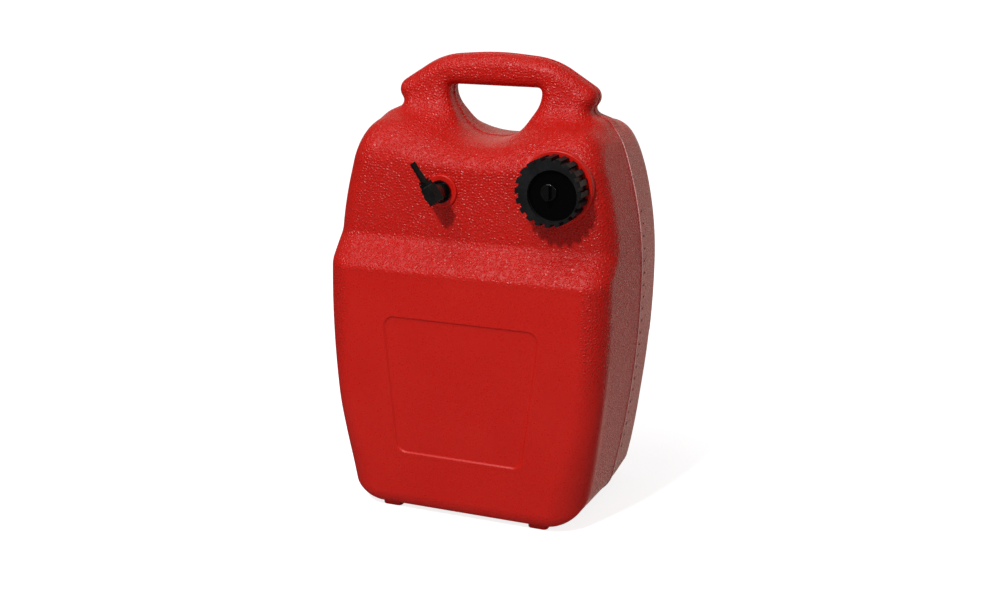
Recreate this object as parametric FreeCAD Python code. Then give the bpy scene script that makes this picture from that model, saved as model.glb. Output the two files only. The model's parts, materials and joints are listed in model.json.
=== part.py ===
import FreeCAD, Part
import math
import os

# Portable fuel tank for a small outboard motor: a hollow moulded shell with a handle, a vented screw
# cap and a swivel elbow for the fuel hose. Millimetres, +Z up, front of the tank towards -Y.
# The pieces are worked out about the parting plane of the mould, where depth is measured forwards,
# and are moved along Y at the end, so that the origin is the middle of the whole outline at the floor.

os.makedirs("parts", exist_ok=True)
V = FreeCAD.Vector

# Clearances, and how far a cutting tool runs past what it cuts
body_gap = 0.3
running_gap = 0.05
past = 1.0

# Shell of the tank
shell_wall = 3.5
foot_height = 4.0
shoulder_z = 437.0
widest_half = 169.5
widest_z = 274.0
narrowing_low = 34.7
narrowing_high = 33.0
side_draft_low = 0.0
side_draft_high = 0.075
side_draft_back = 0.055
lower_depth = 114.5
lower_lean = 0.02
upper_depth = 88.5
upper_lean = 0.025
shelf_low_z = 282.0
shelf_high_z = 311.0
shelf_round = 7.0
rear_depth = 104.0
rear_step = 2.6
rear_step_z = 190.0
front_corner = 27.0
rear_corner = 42.0
base_round_side = 24.0
base_round_depth = 18.0
shoulder_round_side = 18.0
shoulder_round_front = 46.0
shoulder_round_back = 64.0
seam_proud = 0.8
seam_width = 1.8

# Handle and the finger opening in it
handle_top = 510.0
handle_shoulder_x = 66.0
handle_shoulder_drop = 6.0
handle_shoulder_round = 90.0
ear_x = 124.0
ear_z = 467.5
ear_round = 12.6
notch_x = 105.5
notch_z = 449.0
notch_round = 8.0
neck_foot_x = 124.0
neck_inner_x = 112.0
handle_crown_round = 300.0
handle_thick = 48.0
handle_edge_round = 12.0
handle_wall = 5.0
grip_height = 39.0
opening_half = 55.0
opening_side_z = 456.0
opening_vertex_z = 405.0
opening_low_round = 33.0
opening_corner = 12.0
opening_side_round = 4.5
flare_half = 143.0
flare_side_z = 434.0
flare_vertex_z = 388.0
flare_low_round = 200.0
flare_past = 8.0

# Feet under the base
foot_x = 86.8
foot_wide = 18.4
foot_long = 26.0
foot_front_depth = 105.5
foot_rear_depth = 94.0
foot_corner = 5.0

# Recessed panel on the lower front
panel_top_z = 229.0
panel_low_z = 72.0
panel_top_half = 92.5
panel_low_half = 75.0
panel_corner = 10.0
panel_recess = 1.2

# Level scale on the right side, behind the seam
scale_marks = 11
scale_low_z = 64.0
scale_pitch = 27.6
scale_depth = -52.0
mark_long = 14.0
mark_high = 1.6
mark_proud = 0.5

# Filler neck and its pad
cap_x = 99.5
cap_z = 379.5
cap_pad_r = 40.0
pad_depth = 90.0
pad_deep = 30.0
neck_r = 26.0
neck_bore_r = 22.0
neck_rim_depth = 103.7

# Filler cap
cap_tooth_high = 3.5
cap_teeth = 20
tooth_root = 0.30
tooth_tip = 0.25
cap_foot_gap = 1.0
cap_skirt_wall = 3.5
dish_r = 27.0
dish_deep = 5.0
dish_shift_x = 4.5
dish_shift_z = -3.0
thread_room = 1.5
insert_wall = 2.0
insert_plate = 2.5
gasket_thick = 2.0
gasket_wide = 6.5
dish_floor = 2.5

# Vent in the middle of the cap
vent_shaft_r = 3.0
vent_knob_r = 9.0
vent_knob_thick = 3.0
vent_knob_round = 1.0
vent_wing_thick = 4.5
vent_wing_round = 2.0
vent_wing_high = 5.5
vent_collar_r = 5.0
vent_collar_thick = 0.7
vent_lift = 1.2
vent_seal_r = 6.5
vent_seal_thick = 1.3
vent_seat_r = 2.5
plunger_r = 8.0
plunger_thick = 1.4
plunger_tube_r = 4.8
plunger_tube_long = 4.2
baffle_r = 12.0
baffle_wall = 1.5
baffle_floor_depth = 94.5
baffle_lip = 2.0
baffle_lip_thick = 1.0
o_ring_wire = 0.8

# Strap that keeps the cap with the tank
strap_ring_r = 16.0
strap_ring_thick = 1.6
strap_wide = 6.0
strap_thick = 1.2
strap_drop = 18.7
strap_inner_depth = 70.0
strap_hang = 45.0
toggle_r = 3.0
toggle_long = 60.0

# Fuel outlet: fitting, swivel elbow and hose tail
outlet_x = -31.5
outlet_z = 367.0
outlet_pad_r = 18.0
stem_shank_r = 7.0
stem_bore_r = 2.5
stem_branch_r = 2.2
stem_pivot_r = 5.0
stem_flange_r = 12.5
stem_flange_thick = 2.2
stem_inner_depth = 74.0
stem_end_wall = 1.5
outlet_gasket_thick = 1.6
nut_flats = 24.0
nut_thick = 6.0
elbow_hub_r = 9.3
elbow_hub_long = 8.085
elbow_flats = 17.0
elbow_back = 9.5
elbow_front = 9.5
elbow_angle = 35.0
elbow_tail_bore_r = 4.5
swivel_clip_r = 6.0
swivel_clip_thick = 0.8
swivel_clip_groove = 0.8
stem_end_long = 0.7
cover_thick = 1.2
seal_wire = 0.8
seal_land = 0.6
rear_seal_back = 4.0
tail_washer_thick = 1.2
tail_collar_flats = 14.0
tail_collar_long = 4.0
tail_ring_r = 6.2
tail_ring_long = 1.8
tail_neck_r = 5.0
tail_gap_long = 1.4
tail_barb_r = 3.7
tail_barb_deep = 0.5
tail_barbs = 3
tail_barb_pitch = 4.8
tail_plain_long = 7.5
tail_bore_r = 1.8

# Pick-up tube and strainer inside the tank
spigot_r = 4.0
spigot_long = 17.0
dip_wall = 2.0
strainer_clear = 1.6
strainer_high = 19.0
strainer_r = 8.5
strainer_bars = 8
strainer_bar_wide = 1.6
strainer_rim = 2.2
strainer_socket = 6.0
mesh_thick = 0.6

# Places that follow from the sizes above
handle_shoulder_z = handle_top - handle_shoulder_drop
handle_half = handle_thick / 2
handle_root_z = opening_vertex_z - shell_wall
above = handle_top + handle_thick
insert_bore_r = neck_r + thread_room
insert_r = insert_bore_r + insert_wall
cap_root_r = insert_r + cap_skirt_wall
cap_tip_r = cap_root_r + cap_tooth_high
gasket_front = neck_rim_depth + body_gap + gasket_thick
shell_plate_back = gasket_front + insert_plate
dish_floor_depth = shell_plate_back + dish_floor
cap_front_depth = dish_floor_depth + dish_deep
seal_outer_r = vent_shaft_r + 2 * running_gap + 2 * o_ring_wire
plunger_back = baffle_floor_depth + baffle_wall + body_gap + vent_seal_thick
plunger_front = plunger_back + plunger_thick
spindle_end = plunger_front + vent_lift + 2 * body_gap
knob_back = dish_floor_depth + body_gap
knob_front = knob_back + vent_knob_thick
vent_front = knob_front + vent_wing_high
outlet_seat = pad_depth + outlet_gasket_thick
stem_face = outlet_seat + stem_flange_thick
stem_back = stem_inner_depth - spigot_r - stem_end_wall
elbow_centre_depth = stem_face + body_gap + elbow_hub_long + elbow_flats / math.sqrt(3)
elbow_front_depth = elbow_centre_depth + elbow_flats / 2
cover_back = elbow_front_depth - cover_thick
stem_bore_front = elbow_centre_depth + stem_bore_r
rear_seal_depth = elbow_centre_depth - stem_bore_r - rear_seal_back
front_seal_depth = stem_bore_front + seal_land + seal_wire
swivel_clip_depth = front_seal_depth + seal_wire + seal_land
stem_front = swivel_clip_depth + swivel_clip_thick + stem_end_long
dip_r = spigot_r + dip_wall
tail_shank_start = stem_pivot_r + past
tail_collar_start = elbow_front + tail_washer_thick
tail_collar_end = tail_collar_start + tail_collar_long
tail_ring_start = tail_collar_end + tail_gap_long
tail_ring_end = tail_ring_start + tail_ring_long
tail_tip = tail_ring_end + tail_plain_long + tail_barbs * tail_barb_pitch
strainer_foot = foot_height + shell_wall + strainer_clear
strainer_top = strainer_foot + strainer_high
lower_front = lower_depth + lower_lean * (shelf_low_z - foot_height - base_round_side)
front_reach = max(vent_front, elbow_front_depth, lower_front)
seam_y = (front_reach - rear_depth) / 2


def export(node, shape):
    """Move a finished piece from the mould's parting plane to its place and write it."""
    shape = shape.copy()
    shape.translate(V(0, seam_y, 0))
    if not shape.isValid():
        print("not valid:", node)
    shape.exportStep("parts/" + node + ".step")
    print(node, len(shape.Solids), round(shape.Volume))


def rounded(corners, place):
    """A closed wire of lines and arcs. A corner is (a, b, radius), and place turns (a, b) into a point."""
    count = len(corners)
    starts = []
    ends = []
    middles = []
    for i in range(count):
        here = V(corners[i][0], corners[i][1], 0)
        before = V(corners[i - 1][0], corners[i - 1][1], 0).sub(here).normalize()
        after = V(corners[(i + 1) % count][0], corners[(i + 1) % count][1], 0).sub(here).normalize()
        half = before.getAngle(after) / 2
        radius = corners[i][2]
        reach = radius / math.tan(half)
        starts.append(here + before * reach)
        ends.append(here + after * reach)
        inward = (before + after).normalize() if radius else V(0, 0, 0)
        middles.append(here + inward * (radius / math.sin(half) - radius))
    edges = []
    for i in range(count):
        if corners[i][2]:
            arc = [place(p.x, p.y) for p in (starts[i], middles[i], ends[i])]
            edges.append(Part.Arc(*arc).toShape())
        following = starts[(i + 1) % count]
        edges.append(Part.makeLine(place(ends[i].x, ends[i].y), place(following.x, following.y)))
    return Part.Wire(edges)


def front_plane(depth):
    """Places points (x, z) on an upright plane that lies depth in front of the parting plane."""
    return lambda x, z: V(x, -depth, z)


def upright_prism(corners, back, front):
    """The outline of corners (x, z, radius), between two depths."""
    return Part.Face(rounded(corners, front_plane(back))).extrude(V(0, back - front, 0))


def disc(x, z, radius, back, front):
    """A round bar along the depth, between two depths."""
    return Part.makeCylinder(radius, front - back, V(x, -back, z), V(0, -1, 0))


def ring(x, z, inner, outer, back, front):
    return disc(x, z, outer, back, front).cut(disc(x, z, inner, back - past, front + past))


def torus(x, z, wire, inner, depth):
    """A ring seal of round wire whose hole has the inner radius."""
    return Part.makeTorus(inner + wire, wire, V(x, -depth, z), V(0, 1, 0))


def eased(value, ease):
    """The value where it is above zero and 0 below, with a bend of half width ease between the two."""
    if value <= -ease:
        return 0.0
    if value >= ease:
        return value
    return (value + ease) ** 2 / (4 * ease)


def smooth_step(z, low, high, ease):
    """0 below low, 1 above high and straight between them, with both bends eased."""
    return (eased(z - low, ease) - eased(z - high, ease)) / (high - low)


def half_width(z):
    """Half width of the shell at the seam."""
    if z < widest_z:
        return widest_half - narrowing_low * ((widest_z - z) / (widest_z - foot_height)) ** 2
    return widest_half - narrowing_high * ((z - widest_z) / (shoulder_z - widest_z)) ** 2


def front_depth(z):
    """Depth of the front: the lower panel, the sloping shelf and the set-back upper panel."""
    lower = lower_depth + lower_lean * (shelf_low_z - max(z, foot_height + base_round_side))
    upper = upper_depth - upper_lean * (z - shelf_high_z)
    share = smooth_step(z, shelf_low_z, shelf_high_z, shelf_round)
    return lower * (1 - share) + upper * share


def back_depth(z):
    """Depth of the back, set in a little below the step."""
    half_rise = shelf_round / 2
    return rear_depth - rear_step * (1 - smooth_step(z, rear_step_z - half_rise, rear_step_z + half_rise, past))


def front_draft(z):
    """How much the sides close in towards the front, more from the floor up to the shelf."""
    share = smooth_step(z, foot_height, shelf_high_z, past)
    return side_draft_low + (side_draft_high - side_draft_low) * share


def quarter_round(rise, radius):
    """How far a rounded edge is set in at a height above its foot."""
    if rise >= radius:
        return 0.0
    return radius - math.sqrt(radius**2 - (radius - rise) ** 2)


def shell_section(z, inset):
    """One level section of the shell, set in by inset all round."""
    rise = z - foot_height - inset
    fall = shoulder_z - inset - z
    side = inset + quarter_round(rise, base_round_side - inset)
    side += quarter_round(fall, shoulder_round_side - inset)
    deep = inset + quarter_round(rise, base_round_depth - inset)
    half = half_width(z) - side
    front = front_depth(z) - deep - quarter_round(fall, shoulder_round_front - inset)
    back = back_depth(z) - deep - quarter_round(fall, shoulder_round_back - inset)
    front_half = half - front_draft(z) * front
    back_half = half - side_draft_back * back
    corners = [
        (half, 0, 0),
        (front_half, -front, front_corner - inset),
        (-front_half, -front, front_corner - inset),
        (-half, 0, 0),
        (-back_half, back, rear_corner - inset),
        (back_half, back, rear_corner - inset),
    ]
    return rounded(corners, lambda x, y: V(x, y, z))


def shell_levels(inset):
    """Heights of the sections: close together round the base, the shelf, the step and the shoulder."""
    low = foot_height + inset
    high = shoulder_z - inset
    turns = [1 - math.cos(math.radians(angle)) for angle in (0, 20, 40, 60, 90)]
    base = [low + (base_round_side - inset) * t for t in turns]
    shoulder = [high - (shoulder_round_back - inset) * t for t in reversed(turns)]
    shoulder += [high - (shoulder_round_side - inset) * t for t in turns[2:4]]
    wall = [base[-1] + shelf_round, (base[-1] + rear_step_z) / 2]
    wall += [rear_step_z - shelf_round / 2, rear_step_z + shelf_round / 2, (rear_step_z + shelf_low_z) / 2]
    for edge in (shelf_low_z, shelf_high_z):
        wall += [edge - shelf_round, edge - shelf_round / 3, edge + shelf_round / 3, edge + shelf_round]
    wall.append((shelf_high_z + shoulder[0]) / 2)
    return sorted(base + wall + shoulder)


def shell_solid(inset):
    sections = [shell_section(z, inset) for z in shell_levels(inset)]
    return Part.makeLoft(sections, True, True)


def mirrored(half):
    """A closed outline from the corners of its right half, from the top middle to the bottom middle."""
    left = [(-x, z, r) for x, z, r in reversed(half) if x > 0]
    return half + left


def grown(corners, grow):
    """The corners of an outline moved outwards by grow, or inwards where it is below zero."""
    count = len(corners)
    area = 0.0
    for i in range(count):
        x, z, _ = corners[i]
        nx, nz, _ = corners[(i + 1) % count]
        area += x * nz - nx * z
    turn = math.copysign(1.0, area)
    moved = []
    for i in range(count):
        x, z, radius = corners[i]
        bx, bz, _ = corners[i - 1]
        ax, az, _ = corners[(i + 1) % count]
        first = math.hypot(x - bx, z - bz)
        second = math.hypot(ax - x, az - z)
        e1 = ((x - bx) / first, (z - bz) / first)
        e2 = ((ax - x) / second, (az - z) / second)
        n1 = (e1[1] * turn, -e1[0] * turn)
        n2 = (e2[1] * turn, -e2[0] * turn)
        share = grow / (1 + n1[0] * n2[0] + n1[1] * n2[1])
        convex = (e1[0] * e2[1] - e1[1] * e2[0]) * turn > 0
        kept = radius + grow if convex else radius - grow
        moved.append((x + (n1[0] + n2[0]) * share, z + (n1[1] + n2[1]) * share, kept if radius else 0))
    return moved


def handle_corners():
    """Outline of the handle and the neck under it."""
    slope = math.atan((handle_top - handle_shoulder_z) / handle_shoulder_x)
    crown = handle_top + handle_crown_round * (1 / math.cos(slope) - 1)
    return mirrored([
        (0, crown, handle_crown_round),
        (handle_shoulder_x, handle_shoulder_z, handle_shoulder_round),
        (ear_x, ear_z, ear_round),
        (notch_x, notch_z, notch_round),
        (neck_foot_x, shoulder_z, 0),
        (neck_inner_x, handle_root_z, 0),
    ])


def opening_corners():
    """Half-moon finger opening."""
    return mirrored([
        (opening_half, handle_top - grip_height, opening_corner),
        (opening_half, opening_side_z, opening_side_round),
        (0, opening_vertex_z, opening_low_round),
    ])


def scoop(grow, side):
    """The hollow that widens from the opening to the front (side -1) or to the back (side 1)."""
    near = mirrored([
        (opening_half, above, opening_corner),
        (opening_half, opening_side_z, opening_side_round),
        (0, opening_vertex_z, opening_low_round),
    ])
    far = mirrored([
        (flare_half, above, opening_corner),
        (flare_half, flare_side_z, opening_side_round),
        (0, flare_vertex_z, flare_low_round),
    ])
    near_y = side * handle_half
    far_y = side * ((upper_depth if side < 0 else rear_depth) + flare_past)
    wires = [
        rounded(grown(near, grow), lambda x, z: V(x, near_y, z)),
        rounded(grown(far, grow), lambda x, z: V(x, far_y, z)),
    ]
    return Part.makeLoft(wires, True, True)


def slab(corners, half_thick):
    return upright_prism(corners, -half_thick, half_thick)


def handle_solid():
    """Handle with its long edges rounded."""
    blank = slab(handle_corners(), handle_half).cut(slab(opening_corners(), handle_half + past))
    long_edges = []
    for edge in blank.Edges:
        box = edge.BoundBox
        flat = box.YLength < 0.01 and abs(abs(box.Center.y) - handle_half) < 0.01
        if flat and box.Center.z > shoulder_z:
            long_edges.append(edge)
    return blank.makeFillet(handle_edge_round, long_edges)


def shell_form(inset):
    """Shell and handle as one closed form, set in by inset: the outside at 0, the hollow at the wall."""
    form = shell_solid(inset)
    for side in (-1, 1):
        form = form.cut(scoop(inset, side))
    return form.cut(slab(grown(opening_corners(), inset), rear_depth + past))


def box(x, y, z, size_x, size_y, size_z):
    """A box from its lowest corner."""
    return Part.makeBox(size_x, size_y, size_z, V(x, y, z))


def feet():
    """Four feet, each from the floor up into the rounded edge of the base."""
    pieces = []
    for side in (-1, 1):
        for y in (-foot_front_depth, foot_rear_depth - foot_long):
            low = (side * foot_x - foot_wide / 2, y)
            high = (side * foot_x + foot_wide / 2, y + foot_long)
            corners = [
                (high[0], high[1], foot_corner),
                (high[0], low[1], foot_corner),
                (low[0], low[1], foot_corner),
                (low[0], high[1], foot_corner),
            ]
            outline = rounded(corners, lambda x, along: V(x, along, 0))
            pieces.append(Part.Face(outline).extrude(V(0, 0, foot_height + base_round_depth / 2)))
    return pieces


def level_marks():
    """Raised marks of the level scale on the right side, one every step of the scale."""
    marks = []
    for i in range(scale_marks):
        z = scale_low_z + scale_pitch * i
        middle = -scale_depth
        face_x = half_width(z) - side_draft_back * middle
        low_x = face_x - shell_wall / 2
        marks.append(box(low_x, middle - mark_long / 2, z, face_x + mark_proud - low_x, mark_long, mark_high))
    return marks


def panel_cut():
    """Recess of the front panel: a block that follows the lean of the lower front."""
    middle = (panel_top_z + panel_low_z) / 2
    corners = [
        (panel_top_half, panel_top_z, panel_corner),
        (panel_low_half, panel_low_z, panel_corner),
        (-panel_low_half, panel_low_z, panel_corner),
        (-panel_top_half, panel_top_z, panel_corner),
    ]
    floor = front_depth(middle) - panel_recess
    block = upright_prism(corners, floor, floor + panel_recess + shell_wall)
    block.rotate(V(0, -floor, middle), V(1, 0, 0), -math.degrees(math.atan(lower_lean)))
    return block


def tank_body():
    outer = shell_form(0).fuse([handle_solid()] + feet() + level_marks())
    outer = outer.fuse(shell_solid(-seam_proud).common(
        box(-widest_half - past, -seam_width / 2, 0, 2 * (widest_half + past), seam_width, shoulder_z)
    ).cut(slab(opening_corners(), seam_width)))
    outer = outer.fuse(disc(cap_x, cap_z, cap_pad_r, pad_depth - pad_deep, pad_depth))
    outer = outer.fuse(disc(outlet_x, outlet_z, outlet_pad_r, pad_depth - pad_deep, pad_depth))
    outer = outer.cut(panel_cut())
    hollow = shell_form(shell_wall)
    inner_handle = slab(grown(handle_corners(), -handle_wall), handle_half - handle_wall)
    hollow = hollow.fuse(inner_handle.cut(slab(grown(opening_corners(), handle_wall), handle_half)))
    back = pad_depth - pad_deep
    for x, z, radius in ((cap_x, cap_z, cap_pad_r), (outlet_x, outlet_z, outlet_pad_r)):
        hollow = hollow.fuse(disc(x, z, radius - shell_wall, back, pad_depth - shell_wall))
    body = outer.cut(hollow)
    body = body.fuse(disc(cap_x, cap_z, neck_r, pad_depth - shell_wall, neck_rim_depth))
    body = body.cut(disc(cap_x, cap_z, neck_bore_r, pad_depth - 2 * shell_wall, neck_rim_depth + past))
    return body.cut(disc(outlet_x, outlet_z, stem_shank_r, pad_depth - 2 * shell_wall, pad_depth + past))


def teeth():
    """Grip of the cap: a round bar at the root of the teeth and one block for each tooth."""
    foot = pad_depth + cap_foot_gap
    bar = disc(cap_x, cap_z, cap_root_r, foot, cap_front_depth)
    pitch = 2 * math.pi / cap_teeth
    root = cap_root_r - past
    tooth_form = ((-tooth_root, root), (-tooth_tip, cap_tip_r), (tooth_tip, cap_tip_r), (tooth_root, root))
    blocks = []
    for i in range(cap_teeth):
        points = []
        for share, radius in tooth_form:
            angle = (i + share) * pitch
            points.append(V(cap_x + radius * math.sin(angle), -foot, cap_z + radius * math.cos(angle)))
        points.append(points[0])
        blocks.append(Part.Face(Part.makePolygon(points)).extrude(V(0, foot - cap_front_depth, 0)))
    return bar.fuse(blocks)


def cap_shell():
    """Toothed outer shell of the cap with the off-centre dish in its face."""
    shell = teeth()
    shell = shell.cut(disc(cap_x, cap_z, insert_r, pad_depth, shell_plate_back))
    dish_x = cap_x + dish_shift_x
    dish_z = cap_z + dish_shift_z
    shell = shell.cut(disc(dish_x, dish_z, dish_r, dish_floor_depth, cap_front_depth + past))
    seal_seat = shell_plate_back + 2 * o_ring_wire + running_gap
    shell = shell.cut(disc(cap_x, cap_z, seal_outer_r, shell_plate_back - past, seal_seat))
    return shell.cut(disc(cap_x, cap_z, vent_shaft_r + running_gap, shell_plate_back, cap_front_depth))


def cap_insert():
    """Cup that goes over the neck, with the seat of the gasket and the hole of the vent."""
    foot = pad_depth + cap_foot_gap + past
    cup = disc(cap_x, cap_z, insert_r, foot, shell_plate_back)
    cup = cup.cut(disc(cap_x, cap_z, insert_bore_r, foot - past, gasket_front))
    return cup.cut(disc(cap_x, cap_z, vent_shaft_r + running_gap, foot, shell_plate_back + past))


def splash_baffle():
    """Small cup under the vent: it holds the valve's seat and its lip carries the strap's ring."""
    cup = disc(cap_x, cap_z, baffle_r, baffle_floor_depth, gasket_front)
    cup = cup.cut(disc(cap_x, cap_z, baffle_r - baffle_wall, baffle_floor_depth + baffle_wall, gasket_front + past))
    lip_front = gasket_front - 2 * body_gap - strap_ring_thick
    lip_back = lip_front - baffle_lip_thick
    cup = cup.fuse(ring(cap_x, cap_z, baffle_r - baffle_wall / 2, baffle_r + baffle_lip, lip_back, lip_front))
    return cup.cut(disc(cap_x, cap_z, vent_seat_r, baffle_floor_depth - past, baffle_floor_depth + 2 * baffle_wall))


def cap_gasket():
    return ring(cap_x, cap_z, insert_bore_r - gasket_wide, insert_bore_r, gasket_front - gasket_thick, gasket_front)


def vent_spindle():
    """Screw of the vent: shaft, the collar inside the cap and the end that works the plunger."""
    shaft = disc(cap_x, cap_z, vent_shaft_r, spindle_end, knob_back)
    collar_front = gasket_front - body_gap
    return shaft.fuse(disc(cap_x, cap_z, vent_collar_r, collar_front - vent_collar_thick, collar_front))


def vent_knob():
    """Round head of the vent screw with a wing across it to turn it by."""
    head = disc(cap_x, cap_z, vent_knob_r, knob_back, knob_front)
    edge = [e for e in head.Edges if abs(e.BoundBox.Center.y + knob_front) < 0.01]
    head = head.makeFillet(vent_knob_round, edge)
    high = vent_knob_r - vent_knob_round
    wide = vent_wing_thick / 2
    corners = [(x, z, vent_wing_round) for x, z in ((wide, high), (wide, -high), (-wide, -high), (-wide, high))]
    corners = [(cap_x + x, cap_z + z, r) for x, z, r in corners]
    wing = upright_prism(corners, knob_front - vent_knob_round, vent_front)
    return head.fuse(wing).removeSplitter()


def vent_plunger():
    """Disc and tube of the vent's valve. The tube runs on the end of the spindle."""
    plunger = disc(cap_x, cap_z, plunger_r, plunger_back, plunger_front)
    tube_front = plunger_front + plunger_tube_long
    return plunger.fuse(ring(cap_x, cap_z, vent_shaft_r + running_gap, plunger_tube_r, plunger_front, tube_front))


def vent_o_ring():
    """Ring seal in the cap's plate, round the spindle."""
    return torus(cap_x, cap_z, o_ring_wire, vent_shaft_r + running_gap, shell_plate_back + o_ring_wire)


def vent_seal():
    return disc(cap_x, cap_z, vent_seal_r, plunger_back - vent_seal_thick, plunger_back)


def tether_strap():
    """Swivel ring round the baffle and the strap that runs through the neck and hangs in the tank."""
    front = gasket_front - body_gap
    back = front - strap_ring_thick
    strap = ring(cap_x, cap_z, baffle_r + body_gap, strap_ring_r, back, front)
    left = cap_x - strap_wide / 2
    low = cap_z - strap_drop
    tab_high = strap_drop - baffle_r - past
    strap = strap.fuse(box(left, -front, low, strap_wide, strap_ring_thick, tab_high))
    strap = strap.fuse(box(left, -front, low, strap_wide, front - strap_inner_depth, strap_thick))
    back = -strap_inner_depth - strap_thick
    return strap.fuse(box(left, back, low - strap_hang, strap_wide, strap_thick, strap_hang + strap_thick))


def tether_toggle():
    """Cross bar that can't come back through the neck."""
    z = cap_z - strap_drop - strap_hang - toggle_r
    depth = strap_inner_depth + strap_thick / 2
    return Part.makeCylinder(toggle_r, toggle_long, V(cap_x - toggle_long / 2, -depth, z), V(1, 0, 0))


def along_tail(distance):
    """A point on the axis of the hose tail, at a distance from the pivot."""
    turn = math.radians(elbow_angle)
    return V(outlet_x - distance * math.sin(turn), -elbow_centre_depth, outlet_z + distance * math.cos(turn))


def tail_bar(radius, start, end):
    """A round bar on the axis of the hose tail."""
    return Part.makeCylinder(radius, end - start, along_tail(start), along_tail(1).sub(along_tail(0)))


def tail_cone(start_r, end_r, start, end):
    return Part.makeCone(start_r, end_r, end - start, along_tail(start), along_tail(1).sub(along_tail(0)))


def tail_hexagon(flats, start, end):
    """A six-sided bar on the axis of the hose tail, with a flat to the front."""
    turn = math.radians(elbow_angle)
    across = V(math.cos(turn), 0, math.sin(turn))
    corner_r = flats / math.sqrt(3)
    points = []
    for i in range(7):
        angle = math.radians(60 * i)
        points.append(along_tail(start) + across * (corner_r * math.cos(angle)) + V(0, -corner_r * math.sin(angle), 0))
    return Part.Face(Part.makePolygon(points)).extrude(along_tail(end).sub(along_tail(start)))


def pickup_stem():
    """Hollow fitting: pivot of the elbow, flange, shank through the wall and spigot of the dip tube."""
    stem = disc(outlet_x, outlet_z, stem_pivot_r, stem_face, stem_front)
    stem = stem.fuse(disc(outlet_x, outlet_z, stem_flange_r, outlet_seat, stem_face))
    stem = stem.fuse(disc(outlet_x, outlet_z, stem_shank_r, stem_back, outlet_seat))
    down = V(outlet_x, -stem_inner_depth, outlet_z)
    stem = stem.fuse(Part.makeCylinder(spigot_r, spigot_long, down, V(0, 0, -1)))
    stem = stem.cut(disc(outlet_x, outlet_z, stem_bore_r, stem_inner_depth - stem_bore_r, stem_bore_front))
    stem = stem.cut(Part.makeCylinder(stem_branch_r, spigot_long + past, down, V(0, 0, -1)))
    stem = stem.cut(tail_bar(stem_branch_r, 0, elbow_flats))
    outer = stem_pivot_r + past
    inner = stem_pivot_r - 2 * seal_wire
    for depth in (rear_seal_depth, front_seal_depth):
        stem = stem.cut(ring(outlet_x, outlet_z, inner, outer, depth - seal_wire, depth + seal_wire))
    inner = stem_pivot_r - swivel_clip_groove
    groove = (swivel_clip_depth, swivel_clip_depth + swivel_clip_thick)
    return stem.cut(ring(outlet_x, outlet_z, inner, outer, *groove))


def elbow_body():
    """Round hub on the pivot and a six-sided block whose axis is that of the hose tail."""
    body = disc(outlet_x, outlet_z, elbow_hub_r, stem_face + body_gap, elbow_centre_depth)
    block = tail_hexagon(elbow_flats, -elbow_back, elbow_front)
    body = body.fuse(block)
    body = body.cut(disc(outlet_x, outlet_z, stem_pivot_r + running_gap, stem_face, elbow_front_depth + past))
    pocket_back = swivel_clip_depth - body_gap
    body = body.cut(disc(outlet_x, outlet_z, swivel_clip_r + body_gap, pocket_back, elbow_front_depth + past))
    return body.cut(tail_bar(elbow_tail_bore_r, stem_pivot_r, elbow_front + past))


def elbow_seals():
    """Two ring seals in the grooves of the pivot, behind and in front of the side hole."""
    inner = stem_pivot_r - 2 * seal_wire
    rings = [torus(outlet_x, outlet_z, seal_wire, inner, depth) for depth in (rear_seal_depth, front_seal_depth)]
    return Part.makeCompound(rings)


def elbow_clip():
    """Ring in the groove at the end of the pivot, which keeps the elbow on."""
    inner = stem_pivot_r - swivel_clip_groove
    front = swivel_clip_depth + swivel_clip_thick
    return ring(outlet_x, outlet_z, inner, swivel_clip_r, swivel_clip_depth, front)


def elbow_cover():
    return disc(outlet_x, outlet_z, swivel_clip_r + body_gap, cover_back, elbow_front_depth)


def tail_washer():
    outer = tail_bar(tail_collar_flats / 2, elbow_front, elbow_front + tail_washer_thick)
    return outer.cut(tail_bar(elbow_tail_bore_r, elbow_front - past, elbow_front + 2 * tail_washer_thick))


def hose_tail():
    """Shank in the elbow, six-sided collar, ring and the barbed end that the hose goes on."""
    tail = tail_bar(elbow_tail_bore_r, tail_shank_start, tail_collar_start)
    tail = tail.fuse(tail_hexagon(tail_collar_flats, tail_collar_start, tail_collar_end))
    tail = tail.fuse(tail_bar(tail_neck_r, tail_collar_end, tail_ring_start))
    tail = tail.fuse(tail_bar(tail_ring_r, tail_ring_start, tail_ring_end))
    tail = tail.fuse(tail_bar(tail_barb_r, tail_ring_end, tail_ring_end + tail_plain_long))
    for i in range(tail_barbs):
        start = tail_ring_end + tail_plain_long + tail_barb_pitch * i
        tail = tail.fuse(tail_cone(tail_barb_r, tail_barb_r - tail_barb_deep, start, start + tail_barb_pitch))
    return tail.cut(tail_bar(tail_bore_r, tail_shank_start - past, tail_tip + past))


def pickup_gasket():
    return ring(outlet_x, outlet_z, stem_shank_r, stem_flange_r - past, pad_depth, outlet_seat)


def pickup_nut():
    """Six-sided nut against the inside of the wall."""
    front = pad_depth - shell_wall
    points = []
    for i in range(7):
        angle = math.radians(60 * i)
        corner_r = nut_flats / math.sqrt(3)
        points.append(V(outlet_x + corner_r * math.cos(angle), -front, outlet_z + corner_r * math.sin(angle)))
    nut = Part.Face(Part.makePolygon(points)).extrude(V(0, nut_thick, 0))
    return nut.cut(disc(outlet_x, outlet_z, stem_shank_r, front - 2 * nut_thick, front + past))


def upright_bar(radius, low, high):
    """A round bar on the upright axis of the pick-up tube."""
    return Part.makeCylinder(radius, high - low, V(outlet_x, -stem_inner_depth, low), V(0, 0, 1))


def dip_tube():
    top = outlet_z - stem_shank_r - body_gap
    low = strainer_top - strainer_socket
    return upright_bar(dip_r, low, top).cut(upright_bar(spigot_r, low - past, top + past))


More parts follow.
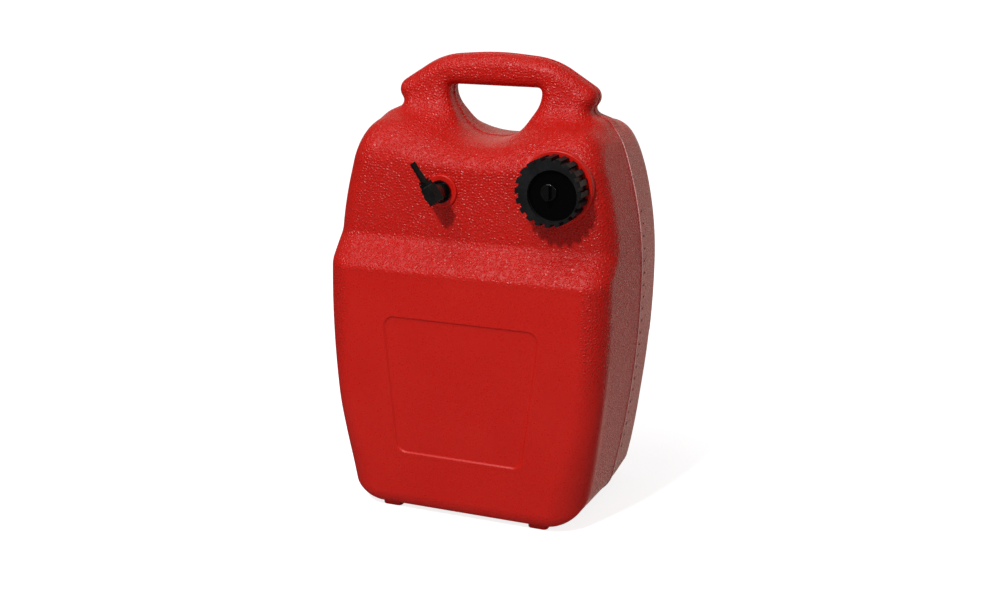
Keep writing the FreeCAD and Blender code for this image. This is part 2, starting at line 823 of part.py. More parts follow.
def strainer_body():
    """Cage at the foot of the tube: a socket, bars and a closed foot."""
    cage = upright_bar(strainer_r, strainer_foot, strainer_top)
    cage = cage.cut(upright_bar(dip_r, strainer_foot + strainer_rim, strainer_top + past))
    window_low = strainer_foot + strainer_rim
    window_high = strainer_top - strainer_socket - strainer_rim
    windows = upright_bar(strainer_r + past, window_low, window_high)
    windows = windows.cut(upright_bar(dip_r, window_low - past, window_high + past))
    for i in range(strainer_bars):
        bar = box(0, -strainer_bar_wide / 2, window_low - past, 2 * strainer_r, strainer_bar_wide, strainer_high)
        bar.rotate(V(0, 0, 0), V(0, 0, 1), 360 * i / strainer_bars)
        bar.translate(V(outlet_x, -stem_inner_depth, 0))
        windows = windows.cut(bar)
    return cage.cut(windows)


def strainer_mesh():
    return upright_bar(strainer_r + mesh_thick, strainer_foot, strainer_top).cut(
        upright_bar(strainer_r, strainer_foot - past, strainer_top + past)
    )


pieces = {
    "tank_body": tank_body,
    "cap_shell": cap_shell,
    "cap_insert": cap_insert,
    "cap_gasket": cap_gasket,
    "splash_baffle": splash_baffle,
    "vent_knob": vent_knob,
    "vent_spindle": vent_spindle,
    "vent_o_ring": vent_o_ring,
    "vent_plunger": vent_plunger,
    "vent_seal": vent_seal,
    "tether_strap": tether_strap,
    "tether_toggle": tether_toggle,
    "pickup_stem": pickup_stem,
    "pickup_gasket": pickup_gasket,
    "pickup_nut": pickup_nut,
    "elbow_body": elbow_body,
    "elbow_seals": elbow_seals,
    "elbow_clip": elbow_clip,
    "elbow_cover": elbow_cover,
    "hose_tail": hose_tail,
    "tail_washer": tail_washer,
    "dip_tube": dip_tube,
    "strainer_body": strainer_body,
    "strainer_mesh": strainer_mesh,
}

for name, make in pieces.items():
    export(name, make())
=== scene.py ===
import json
import math
import bpy
import numpy as np
from mathutils import Matrix, Vector


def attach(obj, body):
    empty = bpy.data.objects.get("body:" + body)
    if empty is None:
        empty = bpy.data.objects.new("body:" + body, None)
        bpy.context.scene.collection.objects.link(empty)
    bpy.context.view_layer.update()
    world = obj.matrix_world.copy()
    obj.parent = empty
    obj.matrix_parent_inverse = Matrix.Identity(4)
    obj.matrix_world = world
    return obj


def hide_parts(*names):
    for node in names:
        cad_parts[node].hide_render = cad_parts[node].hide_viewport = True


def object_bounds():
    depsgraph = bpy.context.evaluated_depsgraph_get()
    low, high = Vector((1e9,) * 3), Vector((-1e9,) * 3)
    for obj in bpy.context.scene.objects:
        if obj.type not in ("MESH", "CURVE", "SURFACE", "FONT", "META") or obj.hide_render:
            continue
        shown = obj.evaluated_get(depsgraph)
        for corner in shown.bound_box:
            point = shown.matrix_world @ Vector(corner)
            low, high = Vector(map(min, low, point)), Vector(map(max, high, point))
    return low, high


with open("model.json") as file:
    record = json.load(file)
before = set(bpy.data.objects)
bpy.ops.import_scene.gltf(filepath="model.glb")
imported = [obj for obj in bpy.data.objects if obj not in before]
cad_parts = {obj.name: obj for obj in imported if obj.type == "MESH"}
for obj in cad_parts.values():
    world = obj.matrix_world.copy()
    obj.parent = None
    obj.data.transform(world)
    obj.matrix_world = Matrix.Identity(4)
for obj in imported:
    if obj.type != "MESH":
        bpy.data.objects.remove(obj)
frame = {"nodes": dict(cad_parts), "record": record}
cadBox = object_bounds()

# Portable fuel tank. Shapes are worked out in millimetres as (x, depth, z), where depth is measured forwards
# from the parting plane of the mould, and are turned into metres of the frame in addSurface.
tank = {
    "footHeight": 4.0, "shoulderZ": 437.0, "joinZ": 368.0,
    "widestHalf": 169.5, "widestZ": 274.0, "narrowingLow": 34.7, "narrowingHigh": 33.0,
    "sideDraftLow": 0.0, "sideDraftHigh": 0.075, "sideDraftBack": 0.055,
    "lowerDepth": 114.5, "lowerLean": 0.02, "upperDepth": 88.5, "upperLean": 0.025,
    "shelfLowZ": 282.0, "shelfHighZ": 311.0, "shelfRound": 5.0,
    "rearDepth": 104.0, "rearStep": 2.6, "rearStepZ": 190.0,
    "frontCorner": 27.0, "rearCorner": 42.0, "baseRound": 20.0, "baseFront": 38.0, "baseRear": 27.0,
    "shoulderSide": 18.0, "shoulderFront": 46.0, "shoulderBack": 64.0,
    "rollNear": 13.0, "rollFar": 26.0,  # rounding of the finger opening at the grip, and of its scoop at the front
    "gripHalf": 19.5, "neckHalf": 24.0, "gripRound": 16.0, "neckBlend": 20.0, "footSpread": 0.55, "footTop": 452.0,
    "flarePast": 8.0,
}
seamY = cadBox[1][1] * 1000 - tank["rearDepth"]  # how far behind the origin the parting plane lies


def eased(value, ease):
    # The value above zero and 0 below it, with a bend of half width ease between the two.
    return np.where(value <= -ease, 0.0, np.where(value >= ease, value, (value + ease) ** 2 / (4 * ease)))


def smoothStep(z, low, high, ease):
    return (eased(z - low, ease) - eased(z - high, ease)) / (high - low)


def roundMax(a, b, r):
    # Where two solids meet: the larger of their distances, with the edge rounded to the radius r.
    return np.minimum(np.maximum(a, b), -r) + np.hypot(np.maximum(a + r, 0), np.maximum(b + r, 0))


def smoothMin(a, b, k):
    # Two solids joined: the smaller of their distances, with a fillet about k wide between them.
    h = np.clip(0.5 + 0.5 * (b - a) / k, 0, 1)
    return b * (1 - h) + a * h - k * h * (1 - h)


def halfWidth(z):
    low = np.clip((tank["widestZ"] - z) / (tank["widestZ"] - tank["footHeight"]), 0, 1.1)
    high = np.clip((z - tank["widestZ"]) / (tank["shoulderZ"] - tank["widestZ"]), 0, 1.2)
    return tank["widestHalf"] - tank["narrowingLow"] * low**2 - tank["narrowingHigh"] * high**2


def frontDepth(z):
    # Lower front, sloping shelf and set-back upper front.
    low = tank["lowerDepth"] + tank["lowerLean"] * (tank["shelfLowZ"] - np.maximum(z, tank["footHeight"] + 24))
    high = tank["upperDepth"] - tank["upperLean"] * (z - tank["shelfHighZ"])
    share = smoothStep(z, tank["shelfLowZ"], tank["shelfHighZ"], tank["shelfRound"])
    return low * (1 - share) + high * share


def backDepth(z):
    share = smoothStep(z, tank["rearStepZ"] - 3.5, tank["rearStepZ"] + 3.5, 2.0)
    return tank["rearDepth"] - tank["rearStep"] * (1 - share)


def frontDraft(z):
    share = smoothStep(z, tank["footHeight"], tank["shelfHighZ"], 10.0)
    return tank["sideDraftLow"] + (tank["sideDraftHigh"] - tank["sideDraftLow"]) * share


def outline(corners, step):
    # Closed outline of corners (x, z, radius): each corner's arc sampled evenly, then the whole resampled by length.
    pieces = []
    count = len(corners)
    for i in range(count):
        here = np.array(corners[i][:2], float)
        before = np.array(corners[i - 1][:2], float) - here
        after = np.array(corners[(i + 1) % count][:2], float) - here
        before /= np.hypot(*before)
        after /= np.hypot(*after)
        half = math.acos(np.clip(before @ after, -1, 1)) / 2
        radius = corners[i][2]
        if radius == 0:
            pieces.append(here[None, :])
            continue
        middle = (before + after) / np.hypot(*(before + after))
        centre = here + middle * radius / math.sin(half)
        start = here + before * radius / math.tan(half) - centre
        end = here + after * radius / math.tan(half) - centre
        low = math.atan2(start[1], start[0])
        turn = (math.atan2(end[1], end[0]) - low + math.pi) % (2 * math.pi) - math.pi
        angle = low + turn * np.linspace(0, 1, 24)
        pieces.append(centre + radius * np.stack([np.cos(angle), np.sin(angle)], 1))
    points = np.concatenate(pieces)
    points = np.concatenate([points, points[:1]])
    along = np.concatenate([[0], np.cumsum(np.hypot(*np.diff(points, axis=0).T))])
    wanted = np.linspace(0, along[-1], int(along[-1] / step) + 1)[:-1]
    return np.stack([np.interp(wanted, along, points[:, 0]), np.interp(wanted, along, points[:, 1])], 1)


def bothSides(half):
    return half + [(-x, z, r) for x, z, r in reversed(half) if x > 0]


handle = {
    "outer": [(0, 509.4, 300.0), (66.0, 504.0, 90.0), (124.0, 467.5, 12.6), (105.5, 449.0, 8.0), (124.0, 437.0, 0),
              (112.0, 401.5, 0)],
    "opening": [(54.0, 473.0, 5.0), (54.0, 456.0, 36.0), (29.0, 417.0, 44.0)],
    "flare": [(143.0, 640.0, 12.0), (143.0, 436.0, 60.0), (0, 398.0, 400.0)],
    "mapLow": (-8.0, 330.0), "mapSize": (136, 160), "mapStep": 1.5,
}


def distanceMap(corners):
    # Signed distance to an outline, negative inside, on a square grid of points: nearest of its short segments,
    # with the side from how often a level line to the right crosses it.
    line = outline(bothSides(corners), 2.5)
    following = np.roll(line, -1, 0)
    along = following - line
    x = handle["mapLow"][0] + handle["mapStep"] * np.arange(handle["mapSize"][0])
    z = handle["mapLow"][1] + handle["mapStep"] * np.arange(handle["mapSize"][1])
    gx, gz = (g.ravel()[:, None] for g in np.meshgrid(x, z, indexing="ij"))
    dx, dz = gx - line[:, 0], gz - line[:, 1]
    share = np.clip((dx * along[:, 0] + dz * along[:, 1]) / (along**2).sum(1), 0, 1)
    near = np.hypot(dx - share * along[:, 0], dz - share * along[:, 1]).min(1)
    spans = (line[:, 1] > gz) != (following[:, 1] > gz)
    rise = np.where(np.abs(along[:, 1]) < 1e-9, 1e-9, along[:, 1])
    crosses = spans & (gx < line[:, 0] + along[:, 0] * (gz - line[:, 1]) / rise)
    inside = crosses.sum(1) % 2 == 1
    return np.where(inside, -near, near).reshape(handle["mapSize"])


def readMap(field, x, z):
    # Value of a distance map at any point: cubic spline weights of the four nearest columns and rows.
    fx = np.clip((np.abs(x) - handle["mapLow"][0]) / handle["mapStep"], 1.001, handle["mapSize"][0] - 3.001)
    fz = np.clip((z - handle["mapLow"][1]) / handle["mapStep"], 1.001, handle["mapSize"][1] - 3.001)
    ix, iz = fx.astype(int), fz.astype(int)
    tx, tz = fx - ix, fz - iz
    wx = ((1 - tx) ** 3 / 6, (3 * tx**3 - 6 * tx**2 + 4) / 6, (-3 * tx**3 + 3 * tx**2 + 3 * tx + 1) / 6, tx**3 / 6)
    wz = ((1 - tz) ** 3 / 6, (3 * tz**3 - 6 * tz**2 + 4) / 6, (-3 * tz**3 + 3 * tz**2 + 3 * tz + 1) / 6, tz**3 / 6)
    total = 0
    for i in range(4):
        for j in range(4):
            total = total + wx[i] * wz[j] * field[ix + i - 1, iz + j - 1]
    return total


handleMap = distanceMap(handle["outer"])
openingMap = distanceMap(handle["opening"])
flareMap = distanceMap(handle["flare"])


def shellForm(p):
    # Signed distance of the shell alone: sides, faces, floor and shoulder, each pair with a rounded edge.
    x, d, z = p[..., 0], p[..., 1], p[..., 2]
    ahead = d > 0
    side = np.abs(x) - halfWidth(z) + np.where(ahead, frontDraft(z), tank["sideDraftBack"]) * np.abs(d)
    face = np.where(ahead, d - frontDepth(z), -d - backDepth(z))
    face = roundMax(face, z - tank["shoulderZ"], np.where(ahead, tank["shoulderFront"], tank["shoulderBack"]))
    face = roundMax(face, tank["footHeight"] - z, tank["baseRound"])
    high = smoothStep(z, 385.0, 430.0, 12.0)
    low = smoothStep(z, 45.0, 120.0, 12.0)
    base = tank["baseRear"] + (tank["baseFront"] - tank["baseRear"]) * smoothStep(d, -40.0, 90.0, 10.0)
    corner = base * (1 - low) + np.where(ahead, tank["frontCorner"], tank["rearCorner"]) * low
    corner = corner * (1 - high) + tank["shoulderSide"] * high
    return roundMax(face, side, corner)


def tankForm(p):
    # Signed distance of the whole outside: shell and handle joined with a fillet, less the finger opening, which
    # widens forwards and backwards into a scoop.
    form = shellForm(p)
    high = p[..., 2] > 372.0
    if not high.any():
        return form
    q = p[high]
    x, d, z = q[:, 0], np.abs(q[:, 1]), q[:, 2]
    thick = tank["neckHalf"] - (tank["neckHalf"] - tank["gripHalf"]) * smoothStep(z, 440.0, 480.0, 8.0)
    thick = thick + tank["footSpread"] * eased(tank["footTop"] - z, 14.0)
    bar = roundMax(readMap(handleMap, x, z), d - thick, tank["gripRound"])
    joined = smoothMin(form[high], bar, tank["neckBlend"])
    far = np.where(q[:, 1] > 0, tank["upperDepth"], tank["rearDepth"]) + tank["flarePast"]
    share = eased(d - 22.0, 6.0) / (far - 22.0)
    hole = readMap(openingMap, x, z) * (1 - share) + readMap(flareMap, x, z) * share
    roll = tank["rollNear"] + (tank["rollFar"] - tank["rollNear"]) * np.clip(share * 2.5, 0, 1)
    form[high] = roundMax(joined, -hole, roll)
    return form


def slope(p, form, eps=0.35):
    # Gradient of a form by central differences.
    parts = []
    for axis in range(3):
        step = np.zeros(3)
        step[axis] = eps
        parts.append((form(p + step) - form(p - step)) / (2 * eps))
    return np.stack(parts, -1)


def settle(p, form, rounds, keep=None, flat=False):
    # Points moved onto the form along its gradient, a few rounds. flat keeps them on the parting plane.
    for _ in range(rounds):
        g = slope(p, form)
        if flat:
            g[..., 1] = 0
        size = np.maximum((g**2).sum(-1, keepdims=True), 0.05)
        move = np.clip(-form(p)[..., None] * g / size, -9, 9)
        if keep is not None:
            move = move * keep
        p = p + move
    return p


def addSurface(name, points, faces, body, material, normals=None, inwards=False):
    # Mesh from points in (x, depth, z) millimetres and quads, smooth shaded, riding on its body. The quads are
    # turned to face outwards: along the given normals, or else away from the middle, or towards it if inwards.
    flatPoints = points.reshape(-1, 3)
    place = np.stack([flatPoints[:, 0], seamY - flatPoints[:, 1], flatPoints[:, 2]], 1) / 1000
    corner = place[faces]
    across = np.cross(corner[:, 2] - corner[:, 0], corner[:, 3] - corner[:, 1])
    if normals is None:
        outwards = (corner.mean(1) - place.mean(0)) * (-1 if inwards else 1)
    else:
        outwards = normals.reshape(-1, 3)[faces].mean(1) * [1, -1, 1]
    if (across * outwards).sum() < 0:
        faces = faces[:, ::-1]
    mesh = bpy.data.meshes.new(name)
    mesh.from_pydata(place, [], faces.tolist())
    mesh.polygons.foreach_set("use_smooth", np.ones(len(faces), bool))
    if normals is not None:
        n = normals.reshape(-1, 3)
        n = np.stack([n[:, 0], -n[:, 1], n[:, 2]], 1)
        n /= np.maximum(np.linalg.norm(n, axis=1, keepdims=True), 1e-9)
        mesh.normals_split_custom_set_from_vertices(n)
    mesh.update()
    piece = bpy.data.objects.new(name, mesh)
    bpy.context.scene.collection.objects.link(piece)
    mesh.materials.append(material)
    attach(piece, body)
    return piece


def gridFaces(rows, columns, closed=False):
    # Quads between neighbouring rows and columns of a grid; a closed grid joins its last column to its first.
    across = columns if closed else columns - 1
    i, j = np.meshgrid(np.arange(rows - 1), np.arange(across), indexing="ij")
    i, j = i.ravel(), j.ravel()
    k = (j + 1) % columns
    return np.stack([i * columns + j, i * columns + k, (i + 1) * columns + k, (i + 1) * columns + j], 1)


def sectionRow(z, side, arc, face):
    # Level sections as rows: from the right seam round the front to the left seam and round the back again.
    # Straight side, quarter arc of the corner and straight face follow each other, mirrored about the middle.
    z = z[:, None]
    rows = []
    rise = np.clip(z - tank["footHeight"], 0, 30)
    left = np.maximum(tank["baseRound"] - rise, 0)
    setIn = tank["baseRound"] - np.sqrt(np.maximum(tank["baseRound"] ** 2 - left**2, 0))
    width = halfWidth(z) - setIn
    for ahead in (True, False):
        deep = (frontDepth(z) if ahead else backDepth(z)) - setIn
        draft = frontDraft(z) if ahead else tank["sideDraftBack"]
        radius = tank["frontCorner"] if ahead else tank["rearCorner"]
        reach = deep - radius
        t = np.linspace(0, 1, side + 1)[None, :-1]
        first = np.stack(np.broadcast_arrays(width - draft * reach * t, reach * t), -1)
        centre = width - draft * reach - radius
        angle = np.linspace(0, math.pi / 2, arc + 1)[None, :-1]
        second = np.stack(np.broadcast_arrays(centre + radius * np.cos(angle), reach + radius * np.sin(angle)), -1)
        t = np.linspace(0, 1, face + 1)[None, :]
        third = np.stack(np.broadcast_arrays(centre * (1 - t), deep + 0 * t), -1)
        quarter = np.concatenate([first, second, third], 1)
        mirrored = quarter[:, -2::-1] * [-1, 1]
        half = np.concatenate([quarter, mirrored], 1)
        rows.append(half if ahead else (half * [-1, -1]))
    ring = np.concatenate([rows[0][:, :-1], rows[1][:, :-1]], 1)
    return np.concatenate([ring, np.broadcast_to(z[:, :, None], ring[:, :, :1].shape)], 2)


lower = {"side": 30, "arc": 18, "face": 50}  # steps of a level section along half a side, a corner and half a face

angles = np.linspace(0, math.pi / 2, 10)[1:]
zRows = np.concatenate([
    tank["footHeight"] + tank["baseRound"] * (1 - np.cos(angles)),
    np.arange(28, 184, 4.0), np.arange(184, 197, 1.3), np.arange(200, 270, 4.0),
    np.arange(272, 326, 1.3), np.linspace(328, tank["joinZ"], 14),
])
wall = sectionRow(zRows, lower["side"], lower["arc"], lower["face"])
wall = settle(wall, tankForm, 3)
frontCount = 2 * (lower["side"] + lower["arc"] + lower["face"])
wall[-1, :, 2] = tank["joinZ"]
print("lower wall", wall.shape)


panel = {"topZ": 229.0, "lowZ": 72.0, "topHalf": 92.5, "lowHalf": 75.0, "corner": 13.0, "recess": 1.5, "ledge": 2.0}


def panelDistance(x, z):
    # Distance to the outline of the front panel, negative inside: its four sides, with rounded corners.
    slant = (panel["topHalf"] - panel["lowHalf"]) / (panel["topZ"] - panel["lowZ"])
    side = (np.abs(x) - panel["lowHalf"] - slant * (z - panel["lowZ"])) / math.hypot(1, slant)
    level = np.maximum(z - panel["topZ"], panel["lowZ"] - z)
    return roundMax(side, level, panel["corner"])


pads = {"cap": (99.5, 379.5, 40.0), "outlet": (-31.5, 367.0, 18.0), "depth": 90.0, "edge": 1.6}


# Upper part of the tank: two closed lines for each half of the mould, joined by lines across the form.
def evenly(points, count, closed=False):
    # A line of points resampled to even steps along its length.
    if closed:
        points = np.concatenate([points, points[:1]])
    along = np.concatenate([[0], np.cumsum(np.linalg.norm(np.diff(points, axis=0), axis=1))])
    wanted = np.linspace(0, along[-1], count + 1)[:-1] if closed else np.linspace(0, along[-1], count)
    return np.stack([np.interp(wanted, along, points[:, i]) for i in range(points.shape[1])], 1)


def crestLine(count):
    # Outline of the tank on the parting plane from the right seam at the join, over the handle, to the left one.
    join = tank["joinZ"]
    right = np.array([
        (float(halfWidth(np.array(join))), join), (150.0, 405.0), (140.0, 431.0), (120.0, 440.0), (108.0, 450.0),
        (122.0, 462.0), (116.0, 474.0), (90.0, 492.0), (60.0, 505.0), (30.0, 509.0), (0.0, 510.0)])
    line = np.concatenate([right, right[-2::-1] * [-1, 1]])
    line = evenly(line, count)
    line = np.stack([line[:, 0], 0 * line[:, 0], line[:, 1]], 1)
    keep = np.ones((count, 1))  # the two ends stay where they are
    keep[[0, -1]] = 0
    for _ in range(14):
        line = settle(line, tankForm, 2, keep, flat=True)
        line = evenly(line, count)
    return settle(line, tankForm, 3, keep, flat=True)


crest = {"count": 330, "across": 96, "relax": 24}
frontRing = wall[-1, :frontCount + 1]
backRing = np.concatenate([wall[-1, frontCount:], wall[-1, :1]])
crestPoints = crestLine(crest["count"])
lip = evenly(outline(bothSides(handle["opening"]), 0.8), 900, closed=True)
lip = np.stack([lip[:, 0], 0 * lip[:, 0], lip[:, 1]], 1)
lip = settle(lip, lambda p: readMap(openingMap, p[..., 0], p[..., 2]), 6, flat=True)
lipStart = int(np.argmax(lip[:, 2] - 0.001 * np.abs(lip[:, 0])))


def lipAt(share):
    # Points of the finger opening's line: share 0 at the middle of its top, growing to the right and round.
    line = np.roll(lip, -lipStart, 0)
    if line[30, 0] < 0:
        line = np.roll(line[::-1], 1, 0)
    line = np.concatenate([line, line[:1]])
    along = np.concatenate([[0], np.cumsum(np.linalg.norm(np.diff(line, axis=0), axis=1))])
    return np.stack([np.interp((share % 1.0) * along[-1], along, line[:, i]) for i in range(3)], 1)


def crownHalf(ring, sign):
    # Outer line: crest from right to left, then the join ring back from the left seam to the right one.
    outer = np.concatenate([crestPoints, ring[::-1][1:-1]])
    n1, n2 = len(crestPoints), len(ring) - 2
    # Shares on the opening's line that belong to marked places of the outer line, straight between them.
    right = crestPoints[: n1 // 2 + 1]
    heights = right[:, 2]
    ear = int(np.argmax(np.where(heights > 452, right[:, 0], 0)))
    notch = int(np.argmin(np.where((heights > 440) & (heights < 460), right[:, 0], 999)))
    marks = [0, notch, ear, n1 // 2, n1 - 1 - ear, n1 - 1 - notch, n1 - 1, n1 + n2 // 2, n1 + n2]
    shares = [1.36, 1.27, 1.20, 1.0, 0.80, 0.73, 0.64, 0.5, 0.36]
    share = np.interp(np.arange(n1 + n2), marks, shares)
    kernel = np.hanning(25) / np.hanning(25).sum()
    wide = np.concatenate([share[-40:] + 1.0, share, share[:40] - 1.0])
    share = np.convolve(wide, kernel, "same")[40:-40]
    inner = lipAt(share)
    t = np.linspace(0, 1, crest["across"] + 1)[:, None, None]
    grid = outer * (1 - t) + inner * t
    bulge = 22.0 + 40.0 * np.clip((np.abs(outer[:, 0]) - 120) / 30, 0, 1) * (outer[:, 2] < 445)
    grid[..., 1] += sign * np.sin(math.pi * t[..., 0]) * bulge
    keep = np.ones(grid.shape[:2] + (1,))
    keep[[0, -1]] = 0
    grid = settle(grid, tankForm, 4, keep)
    for _ in range(crest["relax"]):
        near = (np.roll(grid, 1, 1) + np.roll(grid, -1, 1)) / 2
        up = grid.copy()
        up[1:-1] = (grid[2:] + grid[:-2]) / 2
        grid = grid + keep * (0.5 * (near + up) - grid) * 0.8
        grid = settle(grid, tankForm, 1, keep)
    return settle(grid, tankForm, 3, keep)


frontCrown = crownHalf(frontRing, 1)
backCrown = crownHalf(backRing[::-1], -1)
print("crown", frontCrown.shape, backCrown.shape)


def formNormals(points):
    g = slope(points, tankForm)
    return g / np.linalg.norm(g, axis=-1, keepdims=True)


# Materials
def newMaterial(name):
    made = bpy.data.materials.new(name)
    made.use_nodes = True
    tree = made.node_tree
    return made, tree, tree.nodes["Principled BSDF"]


def newGroup(name, inputs, outputs):
    # An empty shader group with the sockets named: (name, kind, value) each.
    group = bpy.data.node_groups.new(name, "ShaderNodeTree")
    kinds = {"value": "NodeSocketFloat", "colour": "NodeSocketColor", "vector": "NodeSocketVector"}
    for label, kind, value in inputs:
        socket = group.interface.new_socket(name=label, in_out="INPUT", socket_type=kinds[kind])
        if value is not None:
            socket.default_value = value
    for label, kind in outputs:
        group.interface.new_socket(name=label, in_out="OUTPUT", socket_type=kinds[kind])
    return group, group.nodes.new("NodeGroupInput"), group.nodes.new("NodeGroupOutput")


def node(tree, kind, links=(), **settings):
    # A node with its settings and with sockets linked or set: links are (socket name or number, source or value).
    made = tree.nodes.new(kind)
    for key, value in settings.items():
        setattr(made, key, value)
    for where, source in links:
        if isinstance(source, bpy.types.NodeSocket):
            tree.links.new(source, made.inputs[where])
        else:
            made.inputs[where].default_value = source
    return made


def mathNode(tree, kind, a, b=0.0, clamp=False):
    return node(tree, "ShaderNodeMath", [(0, a), (1, b)], operation=kind, use_clamp=clamp).outputs[0]


def mapRange(tree, value, low, high, toLow=0.0, toHigh=1.0):
    links = [("Value", value), ("From Min", low), ("From Max", high), ("To Min", toLow), ("To Max", toHigh)]
    return node(tree, "ShaderNodeMapRange", links, interpolation_type="SMOOTHSTEP").outputs[0]


def mixColour(tree, share, a, b):
    mix = node(tree, "ShaderNodeMix", [], data_type="RGBA")
    for index, source in ((0, share), (6, a), (7, b)):
        if isinstance(source, bpy.types.NodeSocket):
            tree.links.new(source, mix.inputs[index])
        else:
            mix.inputs[index].default_value = source
    return mix.outputs[2]


def makeGrain():
    # Moulded leather grain: rounded pebbles between narrow creases, from two sizes of cells bent by a soft noise.
    # Out come the height, from 0 in a crease to 1 on a pebble, and a slow patchiness.
    group, entry, leave = newGroup("leather grain", [
        ("Vector", "vector", None), ("Pebble Size", "value", 0.0026), ("Bend", "value", 0.5)],
        [("Height", "value"), ("Patches", "value")])
    density = mathNode(group, "DIVIDE", 1.0, entry.outputs["Pebble Size"])
    bendScale = mathNode(group, "MULTIPLY", density, 0.45)
    bend = node(group, "ShaderNodeTexNoise", [
        ("Vector", entry.outputs["Vector"]), ("Scale", bendScale), ("Detail", 2.0)])
    centred = node(group, "ShaderNodeVectorMath", [(0, bend.outputs["Color"]), (1, (0.5, 0.5, 0.5))],
                   operation="SUBTRACT")
    amount = mathNode(group, "MULTIPLY", entry.outputs["Bend"], entry.outputs["Pebble Size"])
    pushed = node(group, "ShaderNodeVectorMath", [(0, centred.outputs[0]), ("Scale", amount)], operation="SCALE")
    place = node(group, "ShaderNodeVectorMath", [(0, entry.outputs["Vector"]), (1, pushed.outputs[0])], operation="ADD")
    cells = node(group, "ShaderNodeTexVoronoi", [("Vector", place.outputs[0]), ("Scale", density), ("Randomness", 0.9)],
                 feature="DISTANCE_TO_EDGE")
    pebble = mapRange(group, cells.outputs["Distance"], 0.0, 0.42)
    fineDensity = mathNode(group, "MULTIPLY", density, 2.3)
    fine = node(group, "ShaderNodeTexNoise", [("Vector", place.outputs[0]), ("Scale", fineDensity), ("Detail", 3.0)])
    mixed = mathNode(group, "ADD", mathNode(group, "MULTIPLY", pebble, 0.94),
                     mathNode(group, "MULTIPLY", fine.outputs["Fac"], 0.06))
    patches = node(group, "ShaderNodeTexNoise", [("Vector", entry.outputs["Vector"]), ("Scale", 16.0), ("Detail", 3.0)])
    group.links.new(mixed, leave.inputs["Height"])
    group.links.new(patches.outputs["Fac"], leave.inputs["Patches"])
    return group


leatherGrain = makeGrain()

# The darker reds are painted shade, in the grain's creases and on the level marks; the pale seam colour is a painted
# highlight along the seam bead.
shellFinish = {
    "red": (0.565, 0.0055, 0.0012, 1), "deepRed": (0.43, 0.003, 0.0008, 1), "paleRed": (0.6, 0.011, 0.004, 1),
    "paintedShadeRed": (0.16, 0.002, 0.0008, 1), "pebble": 0.0032, "upperBump": 1.0, "lowerBump": 0.1,
    "grainHeight": 0.00062, "creaseShade": 0.45,
    "roughUpper": 0.32, "roughLower": 0.27, "specular": 0.31, "seamHighlight": (0.95, 0.52, 0.5, 1),
}


def makeShellMaterial(name, red, paleRed, upperBump):
    # Red polyethylene: leather grain, strong above the shelf and on the sides and weak on the lower front.
    made, tree, skin = newMaterial(name)
    place = node(tree, "ShaderNodeTexCoord").outputs["Object"]
    parts = node(tree, "ShaderNodeSeparateXYZ", [(0, place)])
    side = mapRange(tree, mathNode(tree, "ABSOLUTE", parts.outputs[0]), 0.128, 0.146)
    above = mapRange(tree, parts.outputs[2], 0.258, 0.296)
    behind = mapRange(tree, parts.outputs[1], -0.085, -0.060)
    grained = mathNode(tree, "MULTIPLY", side, mapRange(tree, parts.outputs[2], 0.1, 0.24))
    strong = mathNode(tree, "MAXIMUM", mathNode(tree, "MAXIMUM", grained, above), behind)
    grain = node(tree, "ShaderNodeGroup", [], node_tree=leatherGrain)
    tree.links.new(place, grain.inputs["Vector"])
    grain.inputs["Pebble Size"].default_value = shellFinish["pebble"]
    grain.inputs["Bend"].default_value = 0.55
    strength = mapRange(tree, strong, 0.0, 1.0, shellFinish["lowerBump"], upperBump)
    height = mathNode(tree, "MULTIPLY", grain.outputs["Height"], strength)
    bump = node(tree, "ShaderNodeBump", [
        ("Height", height), ("Distance", shellFinish["grainHeight"]), ("Strength", 1.0)])
    tree.links.new(bump.outputs[0], skin.inputs["Normal"])
    # The grain's creases are painted darker, towards the deep red: painted shade in the creases.
    crease = mathNode(tree, "MULTIPLY", mathNode(tree, "SUBTRACT", 1.0, grain.outputs["Height"]), strength)
    crease = mathNode(tree, "MULTIPLY", crease, shellFinish["creaseShade"])
    pale = mapRange(tree, grain.outputs["Patches"], 0.35, 0.7, 0.0, 0.35)
    base = mixColour(tree, pale, red, paleRed)
    base = mixColour(tree, crease, base, shellFinish["deepRed"])
    # The seam bead on the sides is painted pale: a painted highlight along the bead, not a colour of the plastic.
    offPlane = mathNode(tree, "ABSOLUTE", mathNode(tree, "SUBTRACT", parts.outputs[1], seamY / 1000))
    bead = mathNode(tree, "MULTIPLY", side, mapRange(tree, offPlane, 0.0006, 0.0011, 1.0, 0.0))
    base = mixColour(tree, bead, base, shellFinish["seamHighlight"])
    tree.links.new(base, skin.inputs["Base Color"])
    rough = mapRange(
        tree, grain.outputs["Height"], 0.2, 0.9, shellFinish["roughUpper"] + 0.1, shellFinish["roughLower"])
    tree.links.new(rough, skin.inputs["Roughness"])
    skin.inputs["Specular IOR Level"].default_value = shellFinish["specular"]
    return made


redShell = makeShellMaterial("redShell", shellFinish["red"], shellFinish["paleRed"], shellFinish["upperBump"])
smoothRed = makeShellMaterial("smoothRed", shellFinish["red"], shellFinish["paleRed"], 0.08)
# Material of the level marks: its dark red is painted shade.
paintedShadeRed = makeShellMaterial("paintedShadeRed", shellFinish["paintedShadeRed"], shellFinish["deepRed"], 0.08)


# Round of the cap's dish: its near-black tone is painted shade in the hollow, its lower roughness a smoother finish.
capDishShade = {
    "centre": (0.104, 0.0, 0.3765), "radius": 0.0268, "tone": (0.0012, 0.0012, 0.0014, 1), "roughness": 0.2,
}


